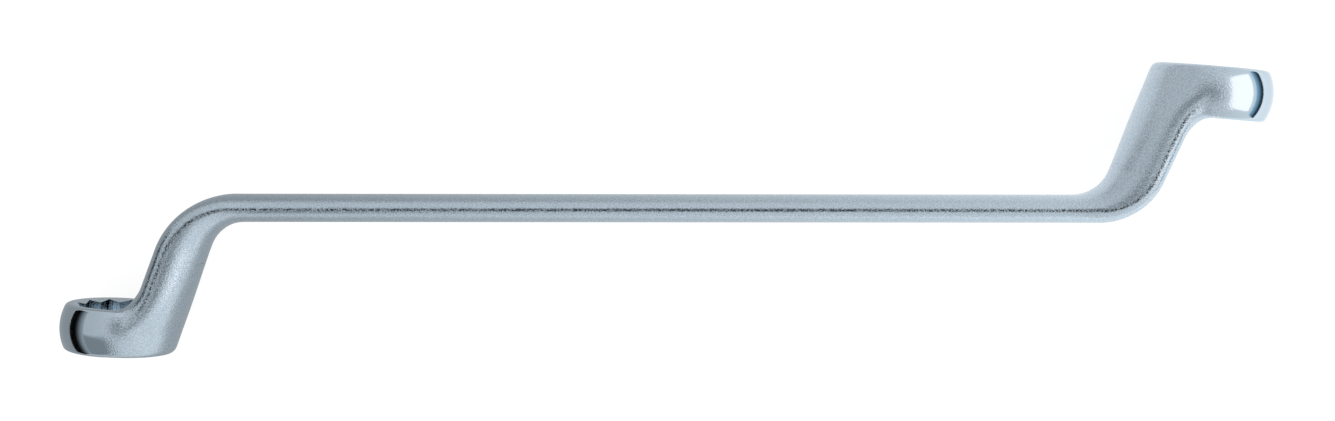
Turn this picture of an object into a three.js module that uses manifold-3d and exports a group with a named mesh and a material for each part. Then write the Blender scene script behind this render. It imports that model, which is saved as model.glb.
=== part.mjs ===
// A deep-offset double ring spanner for 18 and 19 mm nuts, lying on its side on a bench.
// Millimetres. X runs along the shank, Y is the way the two ends are cranked, and Z is up from the bench.
// The tool is one drop forging: the meshes below are its zones,
// which meet on flat sections of the same steel.

import * as THREE from 'three';
import { mergeVertices } from 'three/addons/utils/BufferGeometryUtils.js';
import Module from 'manifold-3d';

const wasm = await Module();
wasm.setup();

const { degToRad, lerp, smoothstep } = THREE.MathUtils;

// Driving dimensions of the whole tool
const LENGTH = 300; // from ring tip to ring tip
const SHANK_THICKNESS = 6.9; // along Y
const SHANK_WIDTH = 13.5; // along Z
const SHANK_LAND = 3; // straight run left on each crank, next to the shank

// Driving dimensions that both ends share
const ROOT_FILLET = 7.7; // where the front of a neck rises from the inner face of its ring
const HEEL_FILLET = 1.9; // where the back of a neck meets the work face of its ring
const RIDGE_ROOT_RADIUS = 14; // bend of the die's parting line, from the ring into the neck
const RIDGE_ROOT_ANGLE = 25; // degrees, how steeply the parting line leaves the middle of the ring
const CRANK_INNER_RADIUS = 9.4; // bend of the back of a neck into the shank
const RING_BARREL_RADIUS = 13; // curve of a ring's outside, seen from the side
const RING_EDGE_RADIUS = 1.3; // rounded edge between barrel and faces
const BORE_CLEARANCE = 0.2; // between the flats of a bore and of its nut, both sides together
const MOUTH_CHAMFER_DEPTH = 1.1; // lead-in at both mouths of a bore
const MOUTH_CLEARANCE = 0.4; // how far a mouth stands outside the points of the bore
const BOLT_RELIEF_HEIGHT = 8; // hollow in the front of a neck for the end of a bolt
const ROOT_INSET = 0.15; // how far the root of a neck starts inside the barrel of its ring
const ROOT_OVERLAP = 5; // how far the root of a neck reaches into its ring, past the axis of the bore
const TAPER_POWER = 1.25; // how early a neck narrows from its ring's width to the shank's

// Driving dimensions of each end. Angles are in degrees from the line of the shank.
const LOWER_END = {
  nutSize: 18, // across the flats
  ringWall: 3.5, // from the points of the bore to the outside of the ring
  ringHeight: 11.6,
  ringDrop: 29.9, // from the line of the shank to the middle of the ring
  ringTilt: 4.1,
  neckFrontAngle: 70.3,
  neckBackAngle: 70.1,
  neckReach: 5.2, // from the axis of the bore to the foot of the neck's front
  crankOuterRadius: 20,
};
const UPPER_END = {
  nutSize: 19,
  ringWall: 3.7,
  ringHeight: 12.6,
  ringDrop: 28.9,
  ringTilt: 5,
  neckFrontAngle: 67.6,
  neckBackAngle: 68.7,
  neckReach: 5.3,
  crankOuterRadius: 16.6,
};

// Powers of the section curve |z / width| ^ flat + |offset / depth| ^ crown = 1,
// next to a ring and next to the shank
const NECK_SECTION = { frontFlat: 4, frontCrown: 2, backFlat: 2, backCrown: 2 };
const SHANK_SECTION = { frontFlat: 2.6, frontCrown: 1.6, backFlat: 2.6, backCrown: 1.6 };

// Fineness of the facets
const SECTION_SIDES = 36;
const RING_STEPS = 6;
const ROOT_STEPS = 5;
const NECK_STEPS = 6;
const CRANK_STEPS = 10;
const LAND_STEPS = 4;
const RING_SIDES = 60;
const EDGE_STEPS = 3;
const BARREL_STEPS = 6;
const RELIEF_STEPS = 6;
const OUTLINE_POINTS = 600;

// A bore is two hexagons, one turned by half a side from the other
const BORE_POINTS = 12;
const HEXAGON_HALF_SIDE = Math.PI / 6; // half the angle that one side spans

// A closed geometry as a solid that can be joined and cut
function solidOf(geometry) {
  const bare = geometry.clone();
  bare.deleteAttribute('normal');
  bare.deleteAttribute('uv');
  const merged = mergeVertices(bare);
  return new wasm.Manifold(new wasm.Mesh({
    numProp: 3,
    vertProperties: merged.attributes.position.array,
    triVerts: new Uint32Array(merged.index.array),
  }));
}

// A solid as a geometry with one normal for each facet
function geometryOf(solid) {
  const { vertProperties, triVerts } = solid.getMesh();
  const shared = new THREE.BufferGeometry();
  shared.setAttribute('position', new THREE.BufferAttribute(vertProperties, 3));
  shared.setIndex(new THREE.BufferAttribute(triVerts, 1));
  const faceted = shared.toNonIndexed();
  faceted.computeVertexNormals();
  return faceted;
}

// A line through corner points, each rounded with its own radius (none at the two ends)
function roundedPath(corners, radii) {
  const path = new THREE.CurvePath();
  let from = corners[0];
  for (let i = 1; i < corners.length - 1; i++) {
    const corner = corners[i];
    const radius = radii[i - 1];
    const before = corners[i - 1].clone().sub(corner).normalize();
    const after = corners[i + 1].clone().sub(corner).normalize();
    const halfAngle = Math.acos(before.dot(after)) / 2;
    const bisector = before.clone().add(after).normalize();
    const centre = corner.clone().addScaledVector(bisector, radius / Math.sin(halfAngle));
    const start = corner.clone().addScaledVector(before, radius / Math.tan(halfAngle));
    const end = corner.clone().addScaledVector(after, radius / Math.tan(halfAngle));
    const clockwise = before.cross(after) > 0;
    const startAngle = start.clone().sub(centre).angle();
    const endAngle = end.clone().sub(centre).angle();
    path.add(new THREE.LineCurve(from, start));
    path.add(new THREE.ArcCurve(centre.x, centre.y, radius, startAngle, endAngle, clockwise));
    from = end;
  }
  path.add(new THREE.LineCurve(from, corners[corners.length - 1]));
  return path;
}

// Where two straight lines cross, each given by a point and a direction
function lineCrossing(point, direction, otherPoint, otherDirection) {
  const gap = otherPoint.clone().sub(point);
  const share = gap.cross(otherDirection) / direction.cross(otherDirection);
  return point.clone().addScaledVector(direction, share);
}

// How far a ray runs from its origin to an outline of short straight pieces
function distanceTo(outline, origin, direction) {
  let nearest = Infinity;
  for (let i = 0; i < outline.length - 1; i++) {
    const piece = outline[i + 1].clone().sub(outline[i]);
    const gap = outline[i].clone().sub(origin);
    const turn = direction.cross(piece);
    const along = gap.cross(piece) / turn;
    const share = gap.cross(direction) / turn;
    if (along > 0 && share >= 0 && share <= 1) nearest = Math.min(nearest, along);
  }
  return nearest;
}

// The points of a bore, and the notches between them where the sides of its two hexagons cross
function boreRadii(end) {
  const flatRadius = (end.nutSize + BORE_CLEARANCE) / 2;
  return {
    pointRadius: flatRadius / Math.cos(HEXAGON_HALF_SIDE),
    notchRadius: flatRadius / Math.cos(HEXAGON_HALF_SIDE / 2),
  };
}

// The places on one end, drawn with its ring at the lower left and the shank leaving to the right
function endLayout(end) {
  const radius = boreRadii(end).pointRadius + end.ringWall;
  const tilt = degToRad(end.ringTilt);
  const along = new THREE.Vector2(Math.cos(tilt), -Math.sin(tilt)); // ring's middle plane, towards the neck
  const axis = new THREE.Vector2(Math.sin(tilt), Math.cos(tilt)); // bore, towards the shank's side
  const centre = new THREE.Vector2(radius - LENGTH / 2, -end.ringDrop);
  const at = (reach, height) => centre.clone().addScaledVector(along, reach).addScaledVector(axis, height);

  const halfShank = SHANK_THICKNESS / 2;
  const shankWay = new THREE.Vector2(1, 0);
  const heading = (angle) => new THREE.Vector2(Math.cos(degToRad(angle)), Math.sin(degToRad(angle)));
  const frontWay = heading(end.neckFrontAngle);
  const backWay = heading(end.neckBackAngle);
  const middle = (height) => new THREE.Vector2(0, height);

  // The front and the back of the neck, as seen from the side
  const root = at(end.neckReach, end.ringHeight / 2);
  const heel = at(radius, -end.ringHeight / 2);
  const front = roundedPath([
    at(-radius, end.ringHeight / 2),
    root,
    lineCrossing(root, frontWay, middle(halfShank), shankWay),
    middle(halfShank),
  ], [ROOT_FILLET, end.crankOuterRadius]);
  const back = roundedPath([
    at(-radius, -end.ringHeight / 2),
    heel,
    lineCrossing(heel, backWay, middle(-halfShank), shankWay),
    middle(-halfShank),
  ], [HEEL_FILLET, CRANK_INNER_RADIUS]);

  // The parting line lies half a shank's thickness under the front, so both bend about the same centre
  const underFront = root.clone().add(new THREE.Vector2(frontWay.y, -frontWay.x).multiplyScalar(halfShank));
  const leave = degToRad(RIDGE_ROOT_ANGLE);
  const leaving = along.clone().multiplyScalar(Math.cos(leave)).addScaledVector(axis, Math.sin(leave));
  const ridge = roundedPath([
    centre,
    lineCrossing(underFront, frontWay, centre, leaving),
    lineCrossing(underFront, frontWay, middle(0), shankWay),
    middle(0),
  ], [RIDGE_ROOT_RADIUS, end.crankOuterRadius - halfShank]);

  // The barrel of the ring: a broad curve between two edge curves that touch it
  const half = end.ringHeight / 2;
  const edgeHeight = half - RING_EDGE_RADIUS;
  const barrelCentre = radius - RING_BARREL_RADIUS;
  const edgeAngle = Math.asin(edgeHeight / (RING_BARREL_RADIUS - RING_EDGE_RADIUS));
  const edgeCentre = barrelCentre + (RING_BARREL_RADIUS - RING_EDGE_RADIUS) * Math.cos(edgeAngle);
  const barrel = { half, edgeHeight, barrelCentre, edgeAngle, edgeCentre };

  return { end, radius, tilt, along, axis, centre, at, front, back, ridge, barrel };
}

// How wide the barrel of a ring is at a height over its middle
function barrelRadius({ edgeHeight, barrelCentre, edgeAngle, edgeCentre }, height) {
  const level = Math.abs(height);
  if (level < RING_BARREL_RADIUS * Math.sin(edgeAngle)) {
    return barrelCentre + Math.sqrt(RING_BARREL_RADIUS ** 2 - level ** 2);
  }
  return edgeCentre + Math.sqrt(RING_EDGE_RADIUS ** 2 - (level - edgeHeight) ** 2);
}

// The sections of one end: a list for the root and the neck, and one for the crank.
// They lie level in the ring, where the root swells out of the barrel,
// then turn square to the neck and to the shank.
function endStations(layout) {
  const { radius, along, axis, centre, at, ridge, barrel } = layout;
  const front = layout.front.getSpacedPoints(OUTLINE_POINTS);
  const back = layout.back.getSpacedPoints(OUTLINE_POINTS);
  const towardsTip = along.clone().negate();
  const fullHalfWidth = radius - ROOT_INSET;
  const footReach = layout.front.curves[1].getPoint(0).sub(centre).dot(along);

  const [toRoot, rootBend, neck, crankBend] = ridge.curves;
  const ridgeLength = ridge.getLength();
  const rootEnd = toRoot.getLength() + rootBend.getLength();
  const neckEnd = rootEnd + neck.getLength();
  const bendEnd = neckEnd + crankBend.getLength();
  const bentTo = (outline) => outline.curves[3].getPoint(1).x;
  const crankEnd = ridgeLength + Math.max(bentTo(layout.front), bentTo(layout.back)) + SHANK_LAND;

  const inRing = [];
  for (let i = 0; i <= RING_STEPS; i++) {
    const height = (ROOT_INSET - barrel.half) * (1 - (i / RING_STEPS) ** 2);
    const origin = at(0, height);
    inRing.push({
      origin,
      towardsFront: towardsTip,
      frontDepth: ROOT_OVERLAP,
      backDepth: distanceTo(back, origin, along),
      halfWidth: barrelRadius(barrel, height) - ROOT_INSET,
      ...NECK_SECTION,
    });
  }

  const onRidge = (place) => {
    const origin = ridge.getPoint(place / ridgeLength);
    const way = ridge.getTangent(place / ridgeLength);
    const square = new THREE.Vector2(-way.y, way.x);
    const turned = smoothstep(place, rootEnd, neckEnd);
    const towardsFront = towardsTip.clone().lerp(square, turned).normalize();
    const offset = origin.clone().sub(centre);
    const height = offset.dot(axis);
    const insideRing = offset.dot(along) + lerp(ROOT_OVERLAP, -footReach, height / barrel.half);
    const frontDepth = height < barrel.half ? insideRing : distanceTo(front, origin, towardsFront);
    const intoShank = smoothstep(place, neckEnd, crankEnd);
    const power = (name) => lerp(NECK_SECTION[name], SHANK_SECTION[name], intoShank);
    return {
      origin,
      towardsFront,
      frontDepth,
      backDepth: distanceTo(back, origin, towardsFront.clone().negate()),
      halfWidth: lerp(SHANK_WIDTH / 2, fullHalfWidth, (1 - place / crankEnd) ** TAPER_POWER),
      frontFlat: power('frontFlat'),
      frontCrown: power('frontCrown'),
      backFlat: power('backFlat'),
      backCrown: power('backCrown'),
    };
  };
  const between = (from, to, steps) => {
    const places = [];
    for (let i = 1; i <= steps; i++) places.push(lerp(from, to, i / steps));
    return places;
  };
  const neckPlaces = [
    ...between(0, rootEnd, ROOT_STEPS),
    ...between(rootEnd, neckEnd, NECK_STEPS),
  ];
  const crankPlaces = [
    neckEnd,
    ...between(neckEnd, bendEnd, CRANK_STEPS),
    ...between(bendEnd, crankEnd, LAND_STEPS),
  ];
  return { neck: [...inRing, ...neckPlaces.map(onRidge)], crank: crankPlaces.map(onRidge) };
}

// The section curve at one station, as a loop of points
function sectionLoop(station) {
  const signedPower = (value, power) => Math.sign(value) * Math.abs(value) ** power;
  const loop = [];
  for (let i = 0; i < SECTION_SIDES; i++) {
    const angle = (2 * Math.PI * i) / SECTION_SIDES;
    const isFront = i < SECTION_SIDES / 2;
    const depth = isFront ? station.frontDepth : station.backDepth;
    const flat = isFront ? station.frontFlat : station.backFlat;
    const crown = isFront ? station.frontCrown : station.backCrown;
    const across = station.halfWidth * signedPower(Math.cos(angle), 2 / flat);
    const offset = depth * signedPower(Math.sin(angle), 2 / crown);
    const point = station.origin.clone().addScaledVector(station.towardsFront, offset);
    loop.push(new THREE.Vector3(point.x, point.y, across));
  }
  return loop;
}

// A closed solid through loops of equally many points, flat at both ends
function loft(loops) {
  const sides = loops[0].length;
  const last = (loops.length - 1) * sides;
  const index = [];
  for (let row = 0; row < last; row += sides) {
    for (let i = 0; i < sides; i++) {
      const next = (i + 1) % sides;
      index.push(row + i, row + sides + i, row + next);
      index.push(row + next, row + sides + i, row + sides + next);
    }
  }
  for (let i = 1; i < sides - 1; i++) {
    index.push(0, i, i + 1);
    index.push(last, last + i + 1, last + i);
  }
  const geometry = new THREE.BufferGeometry().setFromPoints(loops.flat());
  geometry.setIndex(index);
  return geometry;
}

// A ring before it is bored: a barrel with rounded edges and flat faces, about Y
function ringBlank({ half, edgeHeight, barrelCentre, edgeAngle, edgeCentre }) {
  const quarter = Math.PI / 2;
  const lowEdge = new THREE.ArcCurve(edgeCentre, -edgeHeight, RING_EDGE_RADIUS, -quarter, -edgeAngle);
  const barrel = new THREE.ArcCurve(barrelCentre, 0, RING_BARREL_RADIUS, -edgeAngle, edgeAngle);
  const highEdge = new THREE.ArcCurve(edgeCentre, edgeHeight, RING_EDGE_RADIUS, edgeAngle, quarter);
  return new THREE.LatheGeometry([
    new THREE.Vector2(0, -half),
    ...lowEdge.getPoints(EDGE_STEPS),
    ...barrel.getPoints(BARREL_STEPS).slice(1, -1),
    ...highEdge.getPoints(EDGE_STEPS),
    new THREE.Vector2(0, half),
  ], RING_SIDES);
}

// What the bore takes away: the twelve-point hole, a lead-in at both mouths,
// and the hollow for the end of a bolt above the inner face
function boreCutters(layout) {
  const { half } = layout.barrel;
  const { pointRadius, notchRadius } = boreRadii(layout.end);
  const mouthRadius = pointRadius + MOUTH_CLEARANCE;

  const star = new THREE.Shape();
  for (let i = 0; i < 2 * BORE_POINTS; i++) {
    const radius = i % 2 === 0 ? pointRadius : notchRadius;
    const angle = (Math.PI * i) / BORE_POINTS;
    if (i === 0) star.moveTo(radius, 0);
    else star.lineTo(radius * Math.cos(angle), radius * Math.sin(angle));
  }
  star.closePath();
  const hole = new THREE.ExtrudeGeometry(star, { depth: 2 * layout.end.ringHeight, bevelEnabled: false });
  hole.translate(0, 0, -layout.end.ringHeight);
  hole.rotateX(-Math.PI / 2);

  const lead = half - MOUTH_CHAMFER_DEPTH;
  const leadRadius = notchRadius - MOUTH_CLEARANCE;
  const slope = (mouthRadius - leadRadius) / MOUTH_CHAMFER_DEPTH;
  const workMouth = new THREE.LatheGeometry([
    new THREE.Vector2(0, -half - MOUTH_CHAMFER_DEPTH),
    new THREE.Vector2(mouthRadius + slope * MOUTH_CHAMFER_DEPTH, -half - MOUTH_CHAMFER_DEPTH),
    new THREE.Vector2(leadRadius, -lead),
    new THREE.Vector2(0, -lead),
  ], RING_SIDES);

  const dome = new THREE.EllipseCurve(0, half, mouthRadius, BOLT_RELIEF_HEIGHT, 0, Math.PI / 2, false);
  const innerMouth = new THREE.LatheGeometry([
    new THREE.Vector2(0, lead),
    new THREE.Vector2(leadRadius, lead),
    ...dome.getPoints(RELIEF_STEPS),
  ], RING_SIDES);

  return [hole, workMouth, innerMouth];
}

// Ring, root and neck of one end
function ringHead(layout, stations) {
  const seat = (geometry) => {
    geometry.rotateZ(-layout.tilt);
    geometry.translate(layout.centre.x, layout.centre.y, 0);
    return solidOf(geometry);
  };
  let head = solidOf(loft(stations.map(sectionLoop))).add(seat(ringBlank(layout.barrel)));
  for (const cutter of boreCutters(layout)) head = head.subtract(seat(cutter));
  return geometryOf(head);
}

// The bend between neck and shank
function crank(stations) {
  return geometryOf(solidOf(loft(stations.map(sectionLoop))));
}

// The straight bar between the end sections of the two cranks
function shank(lowerStation, upperStation) {
  const lowerLoop = sectionLoop(lowerStation);
  const upperLoop = sectionLoop(lowerStation).map((point) => point.setX(-upperStation.origin.x));
  return geometryOf(solidOf(loft([lowerLoop, upperLoop])));
}

const SATIN_CHROME = { color: 0xb4c0ca, metalness: 1, roughness: 0.32 };
const POLISHED_CHROME = { color: 0xc6ced6, metalness: 1, roughness: 0.12 };

function namedMesh(name, geometry, finish) {
  const mesh = new THREE.Mesh(geometry, new THREE.MeshStandardMaterial(finish));
  mesh.name = name;
  return mesh;
}

const lowerLayout = endLayout(LOWER_END);
const upperLayout = endLayout(UPPER_END);
const lowerStations = endStations(lowerLayout);
const upperStations = endStations(upperLayout);

const lowerEnd = new THREE.Group();
lowerEnd.add(namedMesh('lower_ring_head', ringHead(lowerLayout, lowerStations.neck), POLISHED_CHROME));
lowerEnd.add(namedMesh('lower_crank', crank(lowerStations.crank), SATIN_CHROME));

// The other end is drawn the same way and turned half round in the plane of the cranks
const upperEnd = new THREE.Group();
upperEnd.add(namedMesh('upper_ring_head', ringHead(upperLayout, upperStations.neck), POLISHED_CHROME));
upperEnd.add(namedMesh('upper_crank', crank(upperStations.crank), SATIN_CHROME));
upperEnd.rotation.z = Math.PI;

const forging = new THREE.Group();
const bar = shank(lowerStations.crank.at(-1), upperStations.crank.at(-1));
forging.add(lowerEnd, upperEnd, namedMesh('shank', bar, SATIN_CHROME));

// The origin is on the bench, under the middle of the tool
const box = new THREE.Box3().setFromObject(forging);
const boxCentre = box.getCenter(new THREE.Vector3());
forging.position.set(-boxCentre.x, -boxCentre.y, -box.min.z);

const spanner = new THREE.Group();
spanner.add(forging);

export default spanner;
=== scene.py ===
"""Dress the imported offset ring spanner: fine forged skins, satin and polished chrome, a studio and a camera.

Metres. X runs along the shank, Y is the way the two ends are cranked, and Z is up from the bench.
"""

import logging
import math
from dataclasses import astuple, dataclass
from enum import Enum

import bpy
import numpy as np
from bpy.types import Material, Node, NodeSocket, NodeTree, Object
from mathutils import Matrix, Vector
from mathutils.kdtree import KDTree


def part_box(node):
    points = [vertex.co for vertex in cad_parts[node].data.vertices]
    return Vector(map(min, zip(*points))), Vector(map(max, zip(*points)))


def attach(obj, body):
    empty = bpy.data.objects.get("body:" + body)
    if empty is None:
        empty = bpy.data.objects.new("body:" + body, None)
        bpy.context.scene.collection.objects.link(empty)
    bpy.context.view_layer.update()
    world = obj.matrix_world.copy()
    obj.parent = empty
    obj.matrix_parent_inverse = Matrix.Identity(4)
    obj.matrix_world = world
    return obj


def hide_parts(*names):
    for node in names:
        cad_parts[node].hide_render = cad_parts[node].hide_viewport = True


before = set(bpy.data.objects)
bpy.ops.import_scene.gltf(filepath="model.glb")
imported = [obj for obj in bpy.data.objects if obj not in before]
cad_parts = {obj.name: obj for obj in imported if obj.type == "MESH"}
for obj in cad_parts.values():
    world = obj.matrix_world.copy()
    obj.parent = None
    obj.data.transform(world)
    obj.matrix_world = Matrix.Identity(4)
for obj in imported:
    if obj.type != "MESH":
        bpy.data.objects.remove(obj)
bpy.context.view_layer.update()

BODY = "root"
COOL_WHITE = (0.87, 0.945, 1.0)
NOISE_RANGE = (0.3, 0.7)
LOG = logging.getLogger("spanner")


class Joining(Enum):
    """How a second solid acts on a first one."""

    ADD = "UNION"
    CUT = "DIFFERENCE"


class Zone(Enum):
    """The zones of the forging, by the name of the node that each skin stands for."""

    LOWER_HEAD = "lower_ring_head"
    LOWER_CRANK = "lower_crank"
    SHANK = "shank"
    UPPER_CRANK = "upper_crank"
    UPPER_HEAD = "upper_ring_head"


def smooth_step(value: np.ndarray | float, start: float, end: float) -> np.ndarray | float:
    """Ease from 0 at start to 1 at end.

    Args:
        value: The number, or numbers, to ease.
        start: Where the result is still 0.
        end: Where the result has become 1.

    Returns:
        The eased share, between 0 and 1.
    """
    share = np.clip((value - start) / (end - start), 0.0, 1.0)
    return share * share * (3.0 - 2.0 * share)


def mix(start: float, end: float, share: float) -> float:
    """Return the value a share of the way from start to end."""
    return start + (end - start) * share


class Modeller:
    """The few modelling steps that every skin of the spanner is made with."""

    WEIGHT_STEPS = 20

    @staticmethod
    def only(piece: Object) -> None:
        """Make one object the only selected one, and the active one.

        Args:
            piece: The object to select.
        """
        bpy.ops.object.select_all(action="DESELECT")
        piece.select_set(True)
        bpy.context.view_layer.objects.active = piece

    @staticmethod
    def drawn_bar(name: str, loops: np.ndarray) -> Object:
        """Cut a cylinder into rings and draw each ring to its loop of points.

        Args:
            name: The name of the new object.
            loops: Points by ring, side and coordinate. The first and the last loop are flat.

        Returns:
            A closed mesh object with its faces pointing outwards.
        """
        rings, sides, _ = loops.shape
        bpy.ops.object.select_all(action="DESELECT")
        bpy.ops.mesh.primitive_cylinder_add(vertices=sides, radius=1.0, depth=rings - 1)
        bar = bpy.context.object
        bar.name = name
        mesh = bar.data
        mesh.name = name
        bpy.context.tool_settings.mesh_select_mode = (False, True, False)
        bpy.ops.object.mode_set(mode="EDIT")
        bpy.ops.mesh.select_all(action="DESELECT")
        bpy.ops.object.mode_set(mode="OBJECT")
        for edge in mesh.edges:
            low, high = (mesh.vertices[index].co.z for index in edge.vertices)
            edge.select = not math.isclose(low, high)
        bpy.ops.object.mode_set(mode="EDIT")
        if rings > 2:
            bpy.ops.mesh.subdivide(number_cuts=rings - 2)
        bpy.ops.object.mode_set(mode="OBJECT")

        points = np.empty(3 * len(mesh.vertices))
        mesh.vertices.foreach_get("co", points)
        x, y, z = points.reshape(-1, 3).T
        ring = np.rint(z + 0.5 * (rings - 1)).astype(int)
        side = np.rint(np.arctan2(y, x) * sides / (2.0 * math.pi)).astype(int) % sides
        mesh.vertices.foreach_set("co", loops[ring, side].ravel())
        mesh.update()
        bpy.ops.object.mode_set(mode="EDIT")
        bpy.ops.mesh.select_all(action="SELECT")
        bpy.ops.mesh.normals_make_consistent(inside=False)
        bpy.ops.object.mode_set(mode="OBJECT")
        return bar

    @classmethod
    def turned(cls, name: str, profile: list[tuple[float, float]], sides: int, seat: Matrix) -> Object:
        """Turn a profile about the axis of a bore.

        Args:
            name: The name of the new object.
            profile: Radius and height of each ring, from the lowest ring up.
            sides: How many sides a ring has.
            seat: Places the ring's own frame, whose Y is the axis of the bore.

        Returns:
            The turned solid, with a flat face at each end.
        """
        turn = np.arange(sides) * 2.0 * math.pi / sides
        radius, height = np.array(profile).T[..., None]
        rings = np.broadcast_arrays(radius * np.cos(turn), height, radius * np.sin(turn))
        return cls.drawn_bar(name, cls.moved(np.stack(rings, axis=2), seat))

    @staticmethod
    def moved(loops: np.ndarray, matrix: Matrix) -> np.ndarray:
        """Return points moved by a matrix."""
        turn = np.array(matrix.to_3x3())
        return loops @ turn.T + np.array(matrix.translation)

    @classmethod
    def apply(cls, piece: Object, kind: str, **settings: object) -> None:
        """Add one modifier to a piece, set it and apply it.

        Args:
            piece: The object to change.
            kind: Blender's name for the kind of modifier.
            **settings: The modifier's own settings.
        """
        cls.only(piece)
        modifier = piece.modifiers.new(kind.lower(), kind)
        for name, value in settings.items():
            setattr(modifier, name, value)
        bpy.ops.object.modifier_apply(modifier=modifier.name)

    @classmethod
    def join(cls, piece: Object, tool: Object, joining: Joining) -> None:
        """Join a tool's solid to a piece, or cut it away, and drop the tool."""
        cls.apply(piece, "BOOLEAN", operation=joining.value, object=tool, solver="MANIFOLD")
        bpy.data.objects.remove(tool)

    @classmethod
    def trim(cls, piece: Object, point: Vector, normal: Vector) -> None:
        """Cut a piece flat and drop what lies on the normal's side.

        Args:
            piece: The object to cut.
            point: A point of the cutting plane.
            normal: The side that is dropped.
        """
        cls.only(piece)
        bpy.ops.object.mode_set(mode="EDIT")
        bpy.ops.mesh.select_all(action="SELECT")
        bpy.ops.mesh.bisect(plane_co=point, plane_no=normal, use_fill=True, clear_outer=True)
        bpy.ops.object.mode_set(mode="OBJECT")

    @classmethod
    def soften(cls, piece: Object, angle: float) -> None:
        """Shade a piece smooth, apart from edges sharper than an angle in degrees."""
        cls.only(piece)
        bpy.ops.object.shade_smooth_by_angle(angle=math.radians(angle))

    @staticmethod
    def weigh(piece: Object, name: str, weights: np.ndarray) -> None:
        """Give a piece a vertex group with a weight for each of its points.

        Args:
            piece: The object that gets the group.
            name: The group's name.
            weights: The weights, between 0 and 1.
        """
        group = piece.vertex_groups.new(name=name)
        whole = Modeller.WEIGHT_STEPS
        steps = np.rint(weights * whole).astype(int)
        for step in range(1, whole + 1):
            group.add(np.flatnonzero(steps == step).tolist(), step / whole, "REPLACE")


@dataclass(frozen=True)
class Straight:
    """A straight piece of an outline."""

    start: Vector
    end: Vector

    @property
    def length(self) -> float:
        """Return how long the piece is."""
        return (self.end - self.start).length

    def at(self, place: float) -> tuple[Vector, Vector]:
        """Return the point and the direction at a distance from the start."""
        way = (self.end - self.start).normalized()
        return self.start + way * place, way


@dataclass(frozen=True)
class Arc:
    """A round piece of an outline."""

    centre: Vector
    radius: float
    start_angle: float
    turn: float

    @property
    def length(self) -> float:
        """Return how long the piece is."""
        return self.radius * abs(self.turn)

    def at(self, place: float) -> tuple[Vector, Vector]:
        """Find a place on the arc.

        Args:
            place: The distance from the start.

        Returns:
            The point and the direction there.
        """
        side = math.copysign(1.0, self.turn)
        angle = self.start_angle + side * place / self.radius
        out = Vector((math.cos(angle), math.sin(angle)))
        return self.centre + out * self.radius, Vector((-out.y, out.x)) * side


class RoundedLine:
    """A line through corner points, with its inner corners rounded."""

    def __init__(self, corners: list[Vector], radii: list[float]) -> None:
        """Lay out the straight and the round pieces.

        Args:
            corners: The corner points, with the two ends.
            radii: One radius for each inner corner.
        """
        self.pieces: list[Straight | Arc] = []
        start = corners[0]
        for last, corner, following, radius in zip(corners, corners[1:], corners[2:], radii):
            before = (last - corner).normalized()
            after = (following - corner).normalized()
            half = 0.5 * before.angle(after)
            reach = radius / math.tan(half)
            centre = corner + (before + after).normalized() * (radius / math.sin(half))
            first = corner + before * reach
            out = first - centre
            turn = math.copysign(math.pi - 2.0 * half, after.cross(before))
            self.pieces.append(Straight(start, first))
            self.pieces.append(Arc(centre, radius, math.atan2(out.y, out.x), turn))
            start = corner + after * reach
        self.pieces.append(Straight(start, corners[-1]))

    def ends(self) -> list[float]:
        """Return how far along the line each of its pieces ends."""
        return list(np.cumsum([piece.length for piece in self.pieces]))

    def at(self, place: float) -> tuple[Vector, Vector]:
        """Find a place on the line.

        Args:
            place: The distance from the start. Beyond the end the last piece runs on.

        Returns:
            The point and the direction there.
        """
        for piece in self.pieces[:-1]:
            if place <= piece.length:
                return piece.at(place)
            place -= piece.length
        return self.pieces[-1].at(place)

    def drawn(self, count: int) -> np.ndarray:
        """Return points evenly along the line."""
        whole = self.ends()[-1]
        return np.array([self.at(whole * step / count)[0] for step in range(count + 1)])


def crossing(point: Vector, way: Vector, other: Vector, other_way: Vector) -> Vector:
    """Find where two straight lines cross.

    Args:
        point: A point of the first line.
        way: The first line's direction.
        other: A point of the second line.
        other_way: The second line's direction.

    Returns:
        The point that both lines hold.
    """
    return point + way * ((other - point).cross(other_way) / way.cross(other_way))


def reach_to(outline: np.ndarray, origin: Vector, way: Vector) -> float:
    """Measure from a point along a direction to an outline of short straight pieces.

    Args:
        outline: The outline's points.
        origin: Where the measure starts.
        way: Its direction.

    Returns:
        The distance to the nearest crossing.
    """
    pieces = np.diff(outline, axis=0)
    gaps = outline[:-1] - np.array(origin)
    turns = way.x * pieces[:, 1] - way.y * pieces[:, 0]
    turns[turns == 0.0] = 1e-12
    along = (gaps[:, 0] * pieces[:, 1] - gaps[:, 1] * pieces[:, 0]) / turns
    share = (gaps[:, 0] * way.y - gaps[:, 1] * way.x) / turns
    return float(along[(along > 0.0) & (share >= 0.0) & (share <= 1.0)].min())


@dataclass(frozen=True)
class Section:
    """The powers of a section curve, for its front half and its back half."""

    front_flat: float
    front_crown: float
    back_flat: float
    back_crown: float

    def towards(self, other: "Section", share: float) -> "Section":
        """Return the section a share of the way to another one."""
        pairs = zip(astuple(self), astuple(other))
        return Section(*(mix(own, others, share) for own, others in pairs))


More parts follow.
